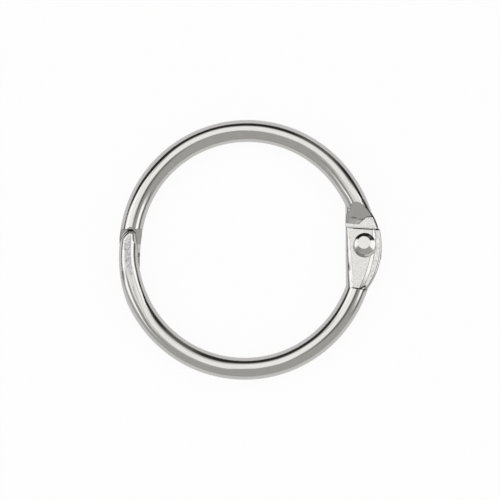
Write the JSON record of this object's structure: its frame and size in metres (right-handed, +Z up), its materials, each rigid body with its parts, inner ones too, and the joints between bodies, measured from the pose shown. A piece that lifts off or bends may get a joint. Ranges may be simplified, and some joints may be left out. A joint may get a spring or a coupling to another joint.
{
  "type": "binder ring",
  "caption": "Hinged metal snap ring that holds loose punched sheets: round wire halves riveted at one end and hooked together at the other.",
  "frame": {"origin": "middle of the closed ring, on the mid-plane where the two ears and the two hooks lap", "axes": "+X from the clasp to the hinge rivet, +Y towards the rear half, +Z up along the rivet's axis, out of the closed head"},
  "size_m": [0.047, 0.0464, 0.0054],
  "materials": {
    "rear_wire": "bright nickel plate",
    "front_wire": "bright nickel plate",
    "rivet_metal": "bright nickel plate"
  },
  "bodies": {
    "rear": {"rear_half": "rear_wire", "rivet": "rivet_metal"},
    "front": {"front_half": "front_wire"}
  },
  "joints": [
    {"name": "hinge_turn", "type": "hinge", "parent": "rear", "child": "front", "pos_m": [0.02041, 0, 0], "axis": [0, 0, 1], "range_deg": [0, 135]}
  ]
}
